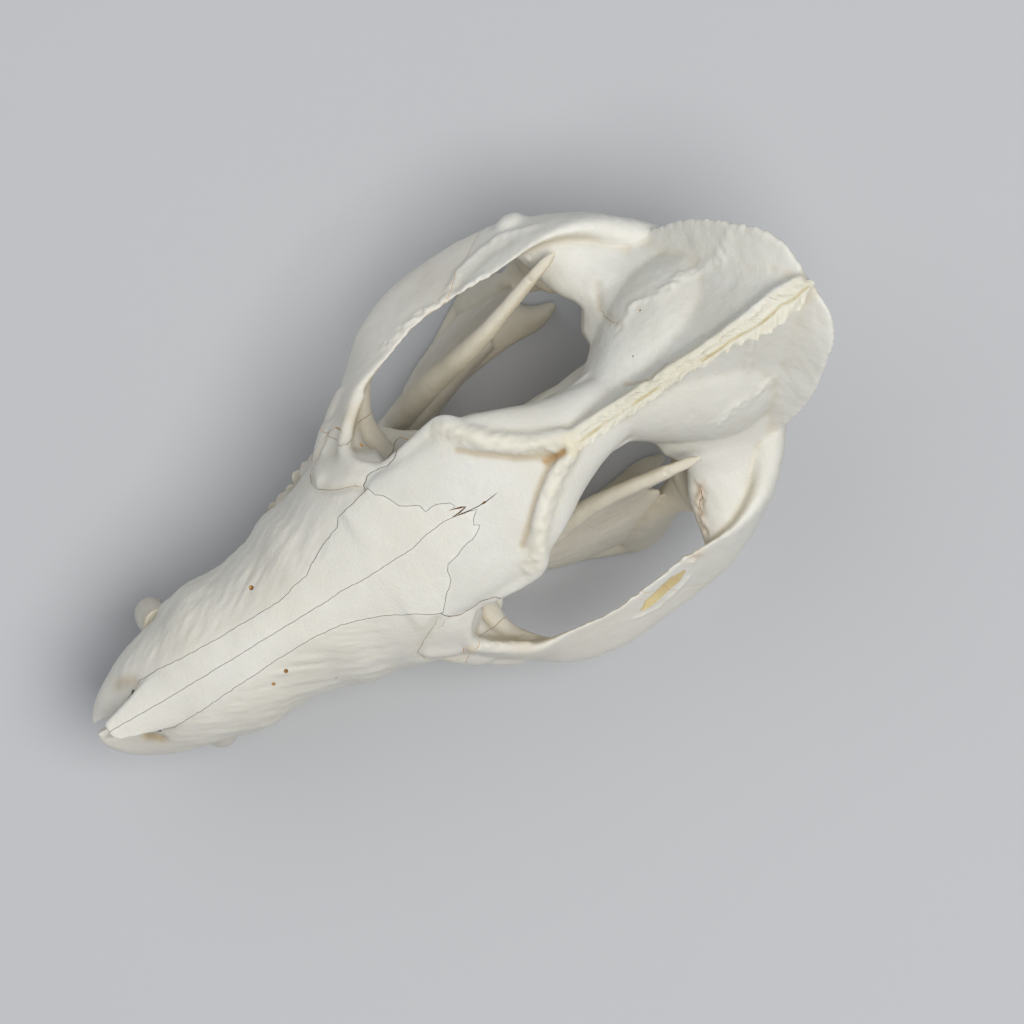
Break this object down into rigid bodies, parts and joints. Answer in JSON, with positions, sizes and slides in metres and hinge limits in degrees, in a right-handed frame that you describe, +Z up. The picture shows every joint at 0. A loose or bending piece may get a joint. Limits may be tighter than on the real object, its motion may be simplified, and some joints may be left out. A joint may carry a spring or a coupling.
{
  "type": "opossum skull",
  "caption": "Life-size opossum skull with its lower jaw, at rest on the flat underside of the jaw, for display and study.",
  "frame": {"origin": "on the resting surface, below the centre of the skull's bounding box", "axes": "-Y toward the nose, +X toward the animal's left, +Z up"},
  "size_m": [0.066, 0.1272, 0.0628],
  "materials": {
    "rostrum": "dry matt bone, warm ivory white",
    "braincase": "dry matt bone, cooler greyish ivory with a yellowed crest",
    "nasal": "dry matt bone, pale ivory",
    "arch": "dry matt bone, warm ivory white",
    "mandible": "dry matt bone, beige ivory",
    "tooth": "smooth enamel, slightly glossy"
  },
  "bodies": {
    "root": {"rostrum": "rostrum", "braincase": "braincase", "nasal_left": "nasal", "nasal_right": "nasal", "zygomatic_arch_left": "arch", "zygomatic_arch_right": "arch", "mandible_left": "mandible", "mandible_right": "mandible"}
  },
  "joints": []
}
